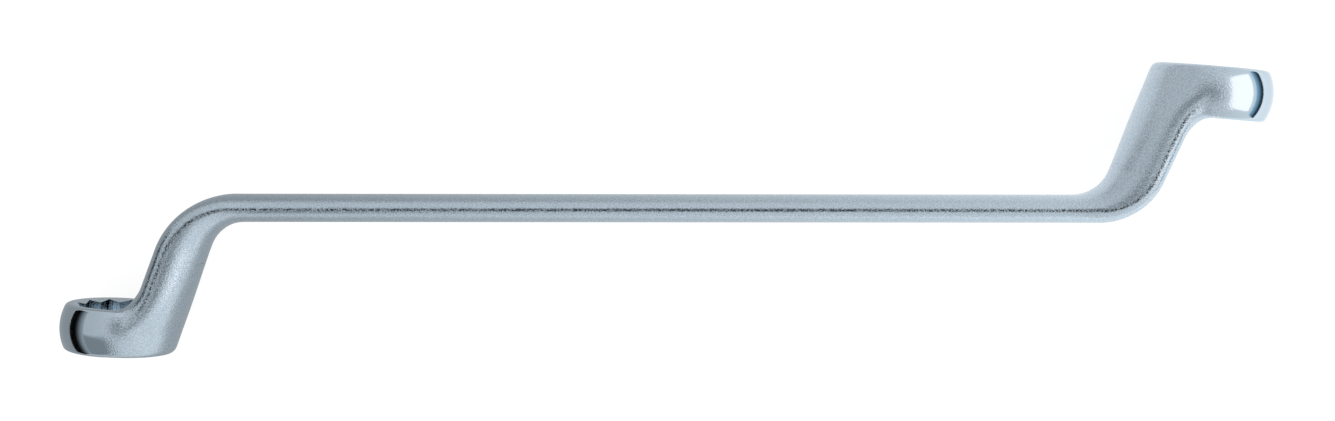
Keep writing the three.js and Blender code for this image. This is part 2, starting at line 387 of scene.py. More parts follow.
@dataclass(frozen=True)
class Station:
    """One section of the forging and its place in the plane of the cranks."""

    origin: Vector
    to_front: Vector
    front_depth: float
    back_depth: float
    half_width: float
    section: Section
    trimmed: float = 0.0

    def loop(self, sides: int) -> np.ndarray:
        """Draw the section curve.

        Args:
            sides: How many points the curve gets.

        Returns:
            The points, by side and coordinate.
        """
        turn = np.arange(sides) * 2.0 * math.pi / sides
        front = np.arange(sides) < sides / 2
        flat = np.where(front, self.section.front_flat, self.section.back_flat)
        crown = np.where(front, self.section.front_crown, self.section.back_crown)
        depth = np.where(front, self.front_depth, self.back_depth)
        across = self.half_width * np.sign(np.cos(turn)) * np.abs(np.cos(turn)) ** (2.0 / flat)
        across = np.clip(across, self.trimmed - self.half_width, self.half_width - self.trimmed)
        offset = depth * np.sign(np.sin(turn)) * np.abs(np.sin(turn)) ** (2.0 / crown)
        x = self.origin.x + offset * self.to_front.x
        y = self.origin.y + offset * self.to_front.y
        return np.stack([x, y, across], axis=1)


@dataclass(frozen=True)
class ForgingSizes:
    """The sizes that the whole forging shares."""

    length: float = 0.300
    shank_thickness: float = 0.0069
    shank_width: float = 0.0135
    shank_land: float = 0.003
    root_fillet: float = 0.0077
    heel_fillet: float = 0.0019
    ridge_root_radius: float = 0.014
    ridge_root_angle: float = 25.0
    crank_inner_radius: float = 0.0094
    barrel_radius: float = 0.013
    edge_radius: float = 0.0013
    bore_clearance: float = 0.0002
    mouth_depth: float = 0.0011
    mouth_clearance: float = 0.0004
    relief_height: float = 0.008
    relief_turn: float = 0.49 * math.pi
    root_inset: float = 0.00002
    root_overlap: float = 0.005
    bore_margin: float = 0.00002
    barrel_blend: tuple[float, float] = (-0.0015, 0.002)
    neck_blend: tuple[float, float] = (0.0010, 0.0030)
    taper_power: float = 1.25
    flash_trim: float = 0.00007
    neck_section: Section = Section(4.0, 2.0, 2.0, 2.0)
    shank_section: Section = Section(2.6, 1.6, 2.6, 1.6)


@dataclass(frozen=True)
class Fineness:
    """How fine the skins are."""

    sides: int = 144
    ring_steps: int = 20
    root_steps: int = 30
    neck_steps: int = 24
    crank_steps: int = 60
    land_steps: int = 6
    overrun_steps: int = 14
    shank_steps: int = 40
    barrel_sides: int = 360
    barrel_steps: int = 32
    edge_steps: int = 8
    relief_points: int = 40
    outline_points: int = 4000
    voxel: float = 0.00026
    smoothing: int = 36
    smoothing_factor: float = 0.5
    sharp_angle: float = 32.0


@dataclass(frozen=True)
class EndSizes:
    """The sizes of one end. Angles are in degrees from the line of the shank."""

    nut_size: float
    ring_wall: float
    ring_height: float
    ring_drop: float
    ring_tilt: float
    front_angle: float
    back_angle: float
    neck_reach: float
    crank_outer_radius: float


LOWER_SIZES = EndSizes(0.018, 0.0035, 0.0116, 0.0299, 4.1, 70.3, 70.1, 0.0052, 0.020)
UPPER_SIZES = EndSizes(0.019, 0.0037, 0.0126, 0.0289, 5.0, 67.6, 68.7, 0.0053, 0.0166)


class RingEnd:
    """One end of the spanner: ring, neck and crank, drawn with its ring at the lower left."""

    POINTS = 12

    def __init__(
        self, name: str, sizes: EndSizes, forging: ForgingSizes, fine: Fineness, place: Matrix
    ) -> None:
        """Lay out the end.

        Args:
            name: The word that the names of its skins start with.
            sizes: The end's own sizes.
            forging: The sizes shared by both ends.
            fine: How fine the skins are.
            place: Moves the end from its drawing to the spanner.
        """
        self.name = name
        self.sizes = sizes
        self.forging = forging
        self.fine = fine
        self.place = place

        flat = 0.5 * (sizes.nut_size + forging.bore_clearance)
        self.point_radius = flat / math.cos(math.pi / 6.0)
        self.notch_radius = flat / math.cos(math.pi / self.POINTS)
        self.mouth_radius = self.point_radius + forging.mouth_clearance
        self.radius = self.point_radius + sizes.ring_wall
        self.half = 0.5 * sizes.ring_height

        tilt = math.radians(sizes.ring_tilt)
        self.along = Vector((math.cos(tilt), -math.sin(tilt)))
        self.axis = Vector((math.sin(tilt), math.cos(tilt)))
        self.centre = Vector((self.radius - 0.5 * forging.length, -sizes.ring_drop))
        self.seat = place @ Matrix.Translation(self.centre.to_3d()) @ Matrix.Rotation(-tilt, 4, "Z")

        self.edge_height = self.half - forging.edge_radius
        self.barrel_centre = self.radius - forging.barrel_radius
        inner = forging.barrel_radius - forging.edge_radius
        self.edge_angle = math.asin(self.edge_height / inner)
        self.edge_centre = self.barrel_centre + inner * math.cos(self.edge_angle)
        self._draw_outlines()

    def _draw_outlines(self) -> None:
        """Draw the front, the back and the parting line of the neck, as seen from the side."""
        forging, sizes = self.forging, self.sizes
        half_shank = 0.5 * forging.shank_thickness
        shank_way = Vector((1.0, 0.0))
        front_angle = math.radians(sizes.front_angle)
        back_angle = math.radians(sizes.back_angle)
        front_way = Vector((math.cos(front_angle), math.sin(front_angle)))
        back_way = Vector((math.cos(back_angle), math.sin(back_angle)))
        top = Vector((0.0, half_shank))
        middle = Vector((0.0, 0.0))
        root = self.at(sizes.neck_reach, self.half)
        heel = self.at(self.radius, -self.half)
        self.front = RoundedLine(
            [self.at(-self.radius, self.half), root, crossing(root, front_way, top, shank_way), top],
            [forging.root_fillet, sizes.crank_outer_radius],
        )
        self.back = RoundedLine(
            [self.at(-self.radius, -self.half), heel, crossing(heel, back_way, -top, shank_way), -top],
            [forging.heel_fillet, forging.crank_inner_radius],
        )
        under = root + Vector((front_way.y, -front_way.x)) * half_shank
        leave = math.radians(forging.ridge_root_angle)
        leaving = self.along * math.cos(leave) + self.axis * math.sin(leave)
        self.ridge = RoundedLine(
            [
                self.centre,
                crossing(under, front_way, self.centre, leaving),
                crossing(under, front_way, middle, shank_way),
                middle,
            ],
            [forging.ridge_root_radius, sizes.crank_outer_radius - half_shank],
        )
        _, self.root_end, self.neck_end, self.bend_end, self.ridge_end = self.ridge.ends()
        bent_to = max(line.pieces[4].start.x for line in (self.front, self.back))
        self.crank_end = self.ridge_end + bent_to + forging.shank_land
        self.front_points = self.front.drawn(self.fine.outline_points)
        self.back_points = self.back.drawn(self.fine.outline_points)
        self.foot_reach = (self.front.pieces[1].at(0.0)[0] - self.centre).dot(self.along)

    def at(self, reach: float, height: float) -> Vector:
        """Return the point at a reach from the bore's axis and a height over the ring's middle."""
        return self.centre + self.along * reach + self.axis * height

    def barrel_at(self, height: np.ndarray | float) -> np.ndarray:
        """Find how wide the barrel of the ring is.

        Args:
            height: The heights over the ring's middle.

        Returns:
            The barrel's radius at each height.
        """
        forging = self.forging
        level = np.minimum(np.abs(height), self.half)
        broad = self.barrel_centre + np.sqrt(forging.barrel_radius**2 - level**2)
        over = np.clip(level - self.edge_height, 0.0, forging.edge_radius)
        edge = self.edge_centre + np.sqrt(forging.edge_radius**2 - over**2)
        return np.where(level < forging.barrel_radius * math.sin(self.edge_angle), broad, edge)

    def ring_station(self, height: float) -> Station:
        """Return the level section of the root at a height in the ring."""
        origin = self.at(0.0, height)
        return Station(
            origin=origin,
            to_front=-self.along,
            front_depth=self.forging.root_overlap,
            back_depth=reach_to(self.back_points, origin, self.along),
            half_width=float(self.barrel_at(height)) - self.forging.root_inset,
            section=self.forging.neck_section,
        )

    def ridge_station(self, place: float) -> Station:
        """Find the section at a place on the parting line.

        Args:
            place: The distance along the line.

        Returns:
            The section there.
        """
        forging = self.forging
        origin, way = self.ridge.at(place)
        square = Vector((-way.y, way.x))
        turned = float(smooth_step(place, self.root_end, self.neck_end))
        to_front = (-self.along).lerp(square, turned).normalized()
        offset = origin - self.centre
        height = offset.dot(self.axis)
        if height < self.half:
            overlap = mix(forging.root_overlap, -self.foot_reach, height / self.half)
            front_depth = offset.dot(self.along) + overlap
        else:
            front_depth = reach_to(self.front_points, origin, to_front)
        into_shank = float(smooth_step(place, self.neck_end, self.crank_end))
        widest = self.radius - forging.root_inset
        share = (1.0 - place / self.crank_end) ** forging.taper_power
        return Station(
            origin=origin,
            to_front=to_front,
            front_depth=front_depth,
            back_depth=reach_to(self.back_points, origin, -to_front),
            half_width=mix(0.5 * forging.shank_width, widest, share),
            section=forging.neck_section.towards(forging.shank_section, into_shank),
            trimmed=forging.flash_trim * into_shank,
        )

    def loops(self, stations: list[Station]) -> np.ndarray:
        """Return the loops of points of a list of stations, in their place on the spanner."""
        drawn = np.stack([station.loop(self.fine.sides) for station in stations])
        return Modeller.moved(drawn, self.place)

    def crank_stations(self) -> list[Station]:
        """Lay out the bend between neck and shank.

        Returns:
            The bend's sections, from the neck on.
        """
        bend = np.linspace(self.neck_end, self.bend_end, self.fine.crank_steps + 1)
        land = np.linspace(self.bend_end, self.crank_end, self.fine.land_steps + 1)
        return [self.ridge_station(float(place)) for place in (*bend, *land[1:])]

    def head_stations(self) -> list[Station]:
        """Lay out root and neck, and a short run of the crank to be trimmed off.

        Returns:
            Their sections, from the foot of the ring on.
        """
        fine = self.fine
        start = self.forging.root_inset - self.half
        share = np.linspace(0.0, 1.0, fine.ring_steps + 1)
        levels = [self.ring_station(float(height)) for height in start * (1.0 - share**2)]
        root = np.linspace(0.0, self.root_end, fine.root_steps + 1)[1:]
        neck = np.linspace(self.root_end, self.neck_end, fine.neck_steps + 1)[1:]
        step = (self.bend_end - self.neck_end) / fine.crank_steps
        overrun = self.neck_end + step * np.arange(1, fine.overrun_steps + 1)
        return levels + [self.ridge_station(float(place)) for place in (*root, *neck, *overrun)]

    def build_crank(self) -> Object:
        """Build the skin of the crank.

        Returns:
            The skin, shaded smooth.
        """
        crank = Modeller.drawn_bar(f"forged_{self.name}_crank", self.loops(self.crank_stations()))
        Modeller.soften(crank, self.fine.sharp_angle)
        return crank

    def build_barrel(self) -> Object:
        """Build the ring before it is bored.

        Returns:
            A barrel with rounded edges and flat faces.
        """
        forging = self.forging
        edge = np.linspace(math.pi / 2.0, self.edge_angle, self.fine.edge_steps + 1)
        high = [
            (self.edge_centre + forging.edge_radius * math.cos(turn),
             self.edge_height + forging.edge_radius * math.sin(turn))
            for turn in edge
        ]
        broad = np.linspace(self.edge_angle, -self.edge_angle, self.fine.barrel_steps + 1)[1:-1]
        side = [
            (self.barrel_centre + forging.barrel_radius * math.cos(turn),
             forging.barrel_radius * math.sin(turn))
            for turn in broad
        ]
        low = [(radius, -height) for radius, height in reversed(high)]
        return Modeller.turned("barrel", high + side + low, self.fine.barrel_sides, self.seat)

    def build_hole(self) -> Object:
        """Build the twelve-point hole.

        Returns:
            A prism with every second edge drawn in.
        """
        corners = 2 * self.POINTS
        turn = np.arange(corners) * 2.0 * math.pi / corners
        radius = np.where(np.arange(corners) % 2 == 0, self.point_radius, self.notch_radius)
        ring = np.stack([radius * np.cos(turn), np.zeros(corners), radius * np.sin(turn)], axis=1)
        reach = np.array([0.0, self.sizes.ring_height, 0.0])
        return Modeller.drawn_bar("hole", Modeller.moved(np.stack([ring - reach, ring + reach]), self.seat))

    def build_mouths(self) -> list[Object]:
        """Build what the mouths of the bore take away.

        Returns:
            The lead-in on the working face, and a lead-in with a hollow for the end of a bolt.
        """
        forging = self.forging
        lead = self.half - forging.mouth_depth
        lead_radius = self.notch_radius - forging.mouth_clearance
        slope = (self.mouth_radius - lead_radius) / forging.mouth_depth
        outer = (self.mouth_radius + slope * forging.mouth_depth, -self.half - forging.mouth_depth)
        work_mouth = [outer, (lead_radius, -lead)]
        turns = np.linspace(0.0, forging.relief_turn, self.fine.relief_points)
        dome = [
            (self.mouth_radius * math.cos(turn), self.half + forging.relief_height * math.sin(turn))
            for turn in turns
        ]
        sides = self.fine.barrel_sides // 2
        return [
            Modeller.turned("work_mouth", work_mouth, sides, self.seat),
            Modeller.turned("inner_mouth", [(lead_radius, lead), *dome], sides, self.seat),
        ]

    def ring_place(
        self, parts: bpy.types.bpy_prop_collection, key: str
    ) -> tuple[np.ndarray, np.ndarray, np.ndarray]:
        """Measure where points or faces lie in the ring.

        Args:
            parts: The points or the faces of a mesh.
            key: The name of the vector that places each of them.

        Returns:
            Reach, height and distance from the bore's axis.
        """
        points = np.empty(3 * len(parts))
        parts.foreach_get(key, points)
        reach, height, across = Modeller.moved(points.reshape(-1, 3), self.seat.inverted()).T
        return reach, height, np.hypot(reach, across)

    def mark_bore(self, head: Object, slot: int) -> None:
        """Give the faces inside the bore and its mouths another material slot.

        Args:
            head: The finished skin of ring and neck.
            slot: The slot's number.
        """
        margin = self.forging.bore_margin
        _, height, distance = self.ring_place(head.data.polygons, "center")
        inside = (distance < self.mouth_radius - margin) & (np.abs(height) < self.half - margin)
        head.data.polygons.foreach_set("material_index", np.where(inside, slot, 0).astype(np.int32))
        head.data.update()

    def build_head(self) -> Object:
        """Build the skin of ring and neck, blended as in a forging, and bore it.

        Returns:
            The skin, closed with a flat face where the crank begins.
        """
        forging, fine = self.forging, self.fine
        loops = self.loops(self.head_stations())
        head = Modeller.drawn_bar(f"forged_{self.name}_ring", loops)
        neck = Modeller.drawn_bar("neck", loops)
        barrel = self.build_barrel()
        Modeller.join(head, self.build_barrel(), Joining.ADD)
        Modeller.apply(head, "REMESH", mode="VOXEL", voxel_size=fine.voxel)
        Modeller.apply(head, "SMOOTH", factor=fine.smoothing_factor, iterations=fine.smoothing)

        reach, height, distance = self.ring_place(head.data.vertices, "co")
        outside = np.maximum(distance - self.barrel_at(height), height - self.half)
        on_barrel = 1.0 - smooth_step(reach, *forging.barrel_blend)
        on_neck = smooth_step(outside, *forging.neck_blend) * (1.0 - on_barrel)
        Modeller.weigh(head, "on_barrel", on_barrel)
        Modeller.weigh(head, "on_neck", on_neck)
        for group, target in (("on_barrel", barrel), ("on_neck", neck)):
            Modeller.apply(head, "SHRINKWRAP", target=target, vertex_group=group)
            bpy.data.objects.remove(target)

        for cutter in (self.build_hole(), *self.build_mouths()):
            Modeller.join(head, cutter, Joining.CUT)
        point, way = self.ridge.at(self.neck_end)
        Modeller.trim(head, self.place @ point.to_3d(), self.place.to_3x3() @ way.to_3d())
        Modeller.soften(head, fine.sharp_angle)
        return head


@dataclass(frozen=True)
class PartingSizes:
    """The sizes of the trimmed band, along which the chrome also gets a painted dark reflection: half widths,
    and shares of a root's length.
    """

    bend_width: float = 0.0005
    shank_width: float = 0.00038
    fades_to: float = 0.3
    full_from: float = 0.9
    end_points: int = 700
    shank_points: int = 1500


class PartingLine:
    """The line along the forging where its flash was trimmed, front and back, which the chrome paints dark as
    a painted reflection.
    """

    def __init__(self, lower: RingEnd, upper: RingEnd, sizes: PartingSizes) -> None:
        """Collect points along the line.

        Args:
            lower: The end at the start of the line.
            upper: The end at its other end.
            sizes: How wide the trimmed band is, and where it fades.
        """
        points: list[Vector] = []
        tips: list[Vector] = []
        self.widths: list[float] = []
        self.strengths: list[float] = []
        for end in (lower, upper):
            fades_to = sizes.fades_to * end.root_end
            full_from = sizes.full_from * end.root_end
            for place in np.linspace(fades_to, end.crank_end, sizes.end_points):
                points.append(end.place @ end.ridge.at(float(place))[0].to_3d())
                thin = float(smooth_step(place, end.neck_end, end.bend_end))
                self.widths.append(mix(sizes.bend_width, sizes.shank_width, thin))
                self.strengths.append(float(smooth_step(place, fades_to, full_from)))
            tips.append(points[-1])
        for share in np.linspace(0.0, 1.0, sizes.shank_points):
            points.append(tips[0].lerp(tips[1], float(share)))
            self.widths.append(sizes.shank_width)
            self.strengths.append(1.0)
        self.tree = KDTree(len(points))
        for number, point in enumerate(points):
            self.tree.insert((point.x, point.y, 0.0), number)
        self.tree.balance()

    def mark(self, skin: Object) -> None:
        """Write how close each point of a skin is to the line into the skin's own attribute, which sets where
        the chrome's painted dark reflection falls.

        Args:
            skin: The skin to mark.
        """
        values = np.empty(len(skin.data.vertices))
        for number, vertex in enumerate(skin.data.vertices):
            _, nearest, gap = self.tree.find((vertex.co.x, vertex.co.y, 0.0))
            values[number] = self.strengths[nearest] * math.exp(-((gap / self.widths[nearest]) ** 2))
        closeness = skin.data.attributes.new("parting", "FLOAT", "POINT")
        closeness.data.foreach_set("value", values)


class Shank:
    """The straight bar between the two cranks."""

    def __init__(self, lower: RingEnd, upper: RingEnd) -> None:
        """Take the bar's two end sections from the ends that it joins."""
        self.lower = lower
        self.upper = upper

    def build(self) -> Object:
        """Build the skin of the bar.

        Returns:
            The skin, with the cranks' own end section all along.
        """
        lower = self.lower.loops([self.lower.ridge_station(self.lower.crank_end)])
        upper = lower.copy()
        upper[..., 0] = (self.upper.place @ self.upper.ridge.at(self.upper.crank_end)[0].to_3d()).x
        fine = self.lower.fine
        steps = np.linspace(0.0, 1.0, fine.shank_steps + 1)
        loops = np.concatenate([lower + (upper - lower) * share for share in steps])
        bar = Modeller.drawn_bar("forged_shank", loops)
        Modeller.soften(bar, fine.sharp_angle)
        return bar


class Graph:
    """A shader node tree that is being wired."""

    def __init__(self, tree: NodeTree) -> None:
        """Start with an empty tree."""
        self.tree = tree
        tree.nodes.clear()

    def add(self, kind: str, **settings: object) -> Node:
        """Add a node and set its own properties.

        Args:
            kind: Blender's name for the kind of node.
            **settings: The node's properties.

        Returns:
            The new node.
        """
        node = self.tree.nodes.new(kind)
        for name, value in settings.items():
            setattr(node, name, value)
        return node

    def link(self, source: NodeSocket, target: NodeSocket) -> None:
        """Wire an output to an input."""
        self.tree.links.new(source, target)

    def math(self, operation: str, first: object, second: object = 0.0) -> NodeSocket:
        """Add a sum, product or other calculation.

        Args:
            operation: Blender's name for the calculation.
            first: A socket or a number.
            second: A socket or a number.

        Returns:
            The socket with the result.
        """
        node = self.add("ShaderNodeMath", operation=operation)
        for socket, value in zip(node.inputs, (first, second)):
            self.feed(socket, value)
        return node.outputs[0]

    def ease(
        self, value: NodeSocket, low: float, high: float, start: float = 0.0, end: float = 1.0
    ) -> NodeSocket:
        """Ease a value from one range to another.

        Args:
            value: The socket to read.
            low: The value that gives start.
            high: The value that gives end.
            start: The first result.
            end: The last result.

        Returns:
            The socket with the eased value.
        """
        node = self.add("ShaderNodeMapRange", interpolation_type="SMOOTHSTEP")
        for socket, number in zip(node.inputs, (value, low, high, start, end)):
            self.feed(socket, number)
        return node.outputs[0]

    def feed(self, socket: NodeSocket, value: object) -> None:
        """Wire a socket to an input, or set the input to a number or colour.

        Args:
            socket: The input.
            value: The socket, number or colour that it takes.
        """
        if isinstance(value, NodeSocket):
            self.link(value, socket)
        else:
            socket.default_value = value

    def blend(self, factor: NodeSocket, first: object, second: object) -> NodeSocket:
        """Mix two colours.

        Args:
            factor: The socket with the share of the second colour.
            first: A socket or a colour.
            second: A socket or a colour.

        Returns:
            The socket with the mixed colour.
        """
        node = self.add("ShaderNodeMix", data_type="RGBA")
        for number, value in ((0, factor), (6, first), (7, second)):
            self.feed(node.inputs[number], value)
        return node.outputs[2]

    def axis(self, coordinates: str, letter: str) -> NodeSocket:
        """Read one axis of a set of coordinates.

        Args:
            coordinates: Blender's name for the coordinates.
            letter: The axis.

        Returns:
            The socket with the place along the axis.
        """
        place = self.add("ShaderNodeTexCoord")
        axes = self.add("ShaderNodeSeparateXYZ")
        self.link(place.outputs[coordinates], axes.inputs[0])
        return axes.outputs[letter]


def new_material(name: str, shader: str) -> tuple[Material, Graph, Node]:
    """Start a material with one shader.

    Args:
        name: The material's name.
        shader: Blender's name for the kind of shader node.

    Returns:
        The material, its graph, and the shader node, which is wired to the output.
    """
    material = bpy.data.materials.new(name)
    material.use_nodes = True
    graph = Graph(material.node_tree)
    output = graph.add("ShaderNodeOutputMaterial")
    node = graph.add(shader)
    graph.link(node.outputs[0], output.inputs["Surface"])
    return material, graph, node


def build_grain_group() -> NodeTree:
    """Build the fine pitted grain that blasting leaves under the chrome.

    Returns:
        A node group with a height, specks and a broad tone that change over the surface.
    """
    group = bpy.data.node_groups.new("blasted_grain", "ShaderNodeTree")
    group.interface.new_socket("Grain Scale", in_out="INPUT", socket_type="NodeSocketFloat")
    for name in ("Height", "Specks", "Tone"):
        group.interface.new_socket(name, in_out="OUTPUT", socket_type="NodeSocketFloat")
    tone_scale = 0.08
    graph = Graph(group)
    inputs = graph.add("NodeGroupInput")
    outputs = graph.add("NodeGroupOutput")
    place = graph.add("ShaderNodeTexCoord")
    fine = graph.add("ShaderNodeTexNoise")
    fine.inputs["Detail"].default_value = 1.0
    fine.inputs["Roughness"].default_value = 0.5
    graph.link(place.outputs["Object"], fine.inputs["Vector"])
    graph.link(inputs.outputs["Grain Scale"], fine.inputs["Scale"])
    broad = graph.add("ShaderNodeTexNoise")
    broad.inputs["Detail"].default_value = 3.0
    graph.link(place.outputs["Object"], broad.inputs["Vector"])
    graph.link(graph.math("MULTIPLY", inputs.outputs["Grain Scale"], tone_scale), broad.inputs["Scale"])
    graph.link(fine.outputs[0], outputs.inputs["Height"])
    graph.link(graph.ease(fine.outputs[0], *NOISE_RANGE), outputs.inputs["Specks"])
    graph.link(broad.outputs[0], outputs.inputs["Tone"])
    return group


def shade_of(colour: tuple[float, float, float], share: float) -> tuple[float, float, float, float]:
    """Return a colour made darker or lighter, as a socket takes it."""
    return (colour[0] * share, colour[1] * share, colour[2] * share, 1.0)


@dataclass(frozen=True)
class ChromeFinish:
    """Chrome on a blasted forging, polished to a mirror beyond a plane across the ring, with a painted dark
    reflection along the parting line.
    """

    name: str
    colour: tuple[float, float, float] = (0.538, 0.594, 0.638)
    speck_contrast: float = 0.12
    tone_share: float = 0.25
    satin_roughness: float = 0.20
    roughness_spread: float = 0.15
    grain_size: float = 0.00036
    grain_depth: float = 0.000078
    # Painted reflection: how dark the parting line is painted, and how strongly the specks break that paint
    # up.
    painted_reflection_shade: float = 0.04
    painted_reflection_strongest: float = 1.0
    painted_reflection_weakest: float = 0.30
    painted_reflection_breaks: tuple[float, float] = (0.1, 0.9)
    trim_roughness: float = 0.12
    polish_roughness: float = 0.10
    polish_from: float | None = None
    polish_side: float = 1.0
    polish_blend: float = 0.0055

    def build(self, grain: NodeTree) -> Material:
        """Build the material.

        Args:
            grain: The shared grain group.

        Returns:
            The material, on Object coordinates.
        """
        material, graph, chrome = new_material(self.name, "ShaderNodeBsdfPrincipled")
        chrome.inputs["Metallic"].default_value = 1.0
        pits = graph.add("ShaderNodeGroup", node_tree=grain)
        pits.inputs["Grain Scale"].default_value = 1.0 / self.grain_size
        bump = graph.add("ShaderNodeBump")
        bump.inputs["Distance"].default_value = self.grain_depth
        graph.link(bump.outputs[0], chrome.inputs["Normal"])
        smoothest = self.satin_roughness * (1.0 - self.roughness_spread)
        roughest = self.satin_roughness * (1.0 + self.roughness_spread)
        roughness = graph.ease(pits.outputs["Tone"], *NOISE_RANGE, smoothest, roughest)
        height = pits.outputs["Height"]
        specks = graph.math("SUBTRACT", pits.outputs["Specks"], 0.5)
        if self.polish_from is not None:
            reach = 0.5 * self.polish_blend
            past = graph.math("SUBTRACT", graph.axis("Object", "X"), self.polish_from)
            beyond = graph.math("MULTIPLY", past, self.polish_side)
            satin = graph.ease(beyond, -reach, reach, 1.0, 0.0)
            height = graph.math("MULTIPLY", height, satin)
            specks = graph.math("MULTIPLY", specks, satin)
            polish = graph.add("ShaderNodeMix", data_type="FLOAT")
            graph.link(satin, polish.inputs[0])
            polish.inputs[2].default_value = self.polish_roughness
            graph.link(roughness, polish.inputs[3])
            roughness = polish.outputs[0]
        tone = graph.math("MULTIPLY", graph.math("SUBTRACT", pits.outputs["Tone"], 0.5), self.tone_share)
        lightness = graph.math("ADD", graph.math("ADD", specks, tone), 0.5)
        dark = shade_of(self.colour, 1.0 - self.speck_contrast)
        light = shade_of(self.colour, 1.0 + self.speck_contrast)
        # Painted reflection: near the parting line the colour is darkened and broken up by the specks,
        # standing for the dark camera side mirrored in the chrome; the band is also made rougher.
        line = graph.add("ShaderNodeAttribute", attribute_name="parting")
        painted_reflection_strength = graph.ease(pits.outputs["Specks"], *self.painted_reflection_breaks, self.painted_reflection_strongest, self.painted_reflection_weakest)
        trimmed = graph.math("MULTIPLY", line.outputs["Fac"], painted_reflection_strength)
        paint = graph.blend(lightness, dark, light)
        paint = graph.blend(trimmed, paint, shade_of(self.colour, self.painted_reflection_shade))
        graph.link(paint, chrome.inputs["Base Color"])
        roughness = graph.math("ADD", roughness, graph.math("MULTIPLY", trimmed, self.trim_roughness))
        graph.link(roughness, chrome.inputs["Roughness"])
        graph.link(height, bump.inputs["Height"])
        return material


@dataclass(frozen=True)
class BroachedFinish:
    """Bare cut steel in a bore, with the fine lines that the broach draws along it."""

    name: str = "broached_bore"
    colour: tuple[float, float, float] = (0.74, 0.79, 0.83)
    roughness: float = 0.04
    line_size: float = 0.00030
    line_length: float = 0.012
    line_depth: float = 0.00001
    shades: tuple[float, float] = (0.75, 1.15)
    roughnesses: tuple[float, float] = (1.3, 0.8)

    def build(self) -> Material:
        """Build the material, with its lines along the frame's Y axis, which both bores follow closely.

        Returns:
            The material, on Object coordinates.
        """
        material, graph, steel = new_material(self.name, "ShaderNodeBsdfPrincipled")
        steel.inputs["Metallic"].default_value = 1.0
        place = graph.add("ShaderNodeTexCoord")
        stretch = graph.add("ShaderNodeMapping")
        stretch.inputs["Scale"].default_value = [
            1.0 / size for size in (self.line_size, self.line_length, self.line_size)
        ]
        graph.link(place.outputs["Object"], stretch.inputs["Vector"])
        lines = graph.add("ShaderNodeTexNoise")
        lines.inputs["Scale"].default_value = 1.0
        lines.inputs["Detail"].default_value = 2.0
        graph.link(stretch.outputs[0], lines.inputs["Vector"])
        dark, light = (shade_of(self.colour, share) for share in self.shades)
        paint = graph.blend(graph.ease(lines.outputs[0], *NOISE_RANGE), dark, light)
        graph.link(paint, steel.inputs["Base Color"])
        rough, smooth = (self.roughness * share for share in self.roughnesses)
        graph.link(graph.ease(lines.outputs[0], *NOISE_RANGE, rough, smooth), steel.inputs["Roughness"])
        bump = graph.add("ShaderNodeBump")
        bump.inputs["Distance"].default_value = self.line_depth
        graph.link(lines.outputs[0], bump.inputs["Height"])
        graph.link(bump.outputs[0], steel.inputs["Normal"])
        return material


@dataclass(frozen=True)
class Lens:
    """The camera, at the viewing angle of a bench shot from above."""

    image_width: int = 1335
    focal_pixels: float = 1850.0
    sensor_width: float = 36.0
    aside: float = 0.000906
    above_shank: float = 0.033845
    distance: float = 0.458
    pitch: float = 4.297
    roll: float = 0.063
    nearest: float = 0.01

    def build(self, shank_centre: Vector) -> Object:
        """Build the camera over the middle of the shank.

        Args:
            shank_centre: The middle of the shank's own thickness and width.

        Returns:
            The camera, set as the scene's own.
        """
        data = bpy.data.cameras.new("bench_camera")
        data.sensor_width = self.sensor_width
        data.lens = self.sensor_width * self.focal_pixels / self.image_width
        data.clip_start = self.nearest
        camera = bpy.data.objects.new("bench_camera", data)
        camera.location = (self.aside, shank_centre.y + self.above_shank, shank_centre.z + self.distance)
        camera.rotation_euler = (-math.radians(self.pitch), 0.0, math.radians(self.roll))
        bpy.context.collection.objects.link(camera)
        bpy.context.scene.camera = camera
        return camera


class Shading(Enum):
    """How the tone of a card changes over it."""

    ROUND = "from its middle outwards"
    UPWARD = "from its lower edge upwards"
    ACROSS = "from its left edge to its right"


@dataclass(frozen=True)
class Card:
    """A studio card that only the metal reflects."""

    name: str
    centre: tuple[float, float, float]
    facing: tuple[float, float, float]
    size: tuple[float, float]
    shading: Shading
    dark_to: float
    light_from: float
    dark_tone: float
    light_tone: float
    tint: tuple[float, float, float] = COOL_WHITE
    spin: float = 0.0

    def build(self) -> None:
        """Build the card and hide it from everything but reflections."""
        bpy.ops.object.select_all(action="DESELECT")
        bpy.ops.mesh.primitive_plane_add(size=1.0)
        card = bpy.context.object
        card.name = self.name
        facing = Vector(self.facing)
        upward = Vector((0.0, 1.0, 0.0)) if facing.z else Vector((0.0, 0.0, 1.0))
        aside = upward.cross(facing).normalized()
        turn = Matrix((aside, facing.cross(aside), facing)).transposed().to_4x4()
        turn = turn @ Matrix.Rotation(math.radians(self.spin), 4, "Z")
        card.matrix_world = Matrix.Translation(self.centre) @ turn @ Matrix.Diagonal((*self.size, 1.0, 1.0))
        card.visible_camera = False
        card.visible_diffuse = False
        card.visible_transmission = False
        card.visible_shadow = False
        card.data.materials.append(self._paint())

    def _paint(self) -> Material:
        """Build the card's material, lit by itself.

        Returns:
            The material, with its tones across or up the card, or around its middle.
        """
        material, graph, glow = new_material(self.name, "ShaderNodeEmission")
        if self.shading is Shading.ROUND:
            place = graph.add("ShaderNodeTexCoord")
            length = graph.add("ShaderNodeVectorMath", operation="LENGTH")
            graph.link(place.outputs["Object"], length.inputs[0])
            share = graph.math("MULTIPLY", length.outputs["Value"], 2.0)
        else:
            letter = "Y" if self.shading is Shading.UPWARD else "X"
            share = graph.math("ADD", graph.axis("Object", letter), 0.5)
        tone = graph.ease(share, self.dark_to, self.light_from, self.dark_tone, self.light_tone)
        glow.inputs["Color"].default_value = (*self.tint, 1.0)
        graph.link(tone, glow.inputs["Strength"])
        return material


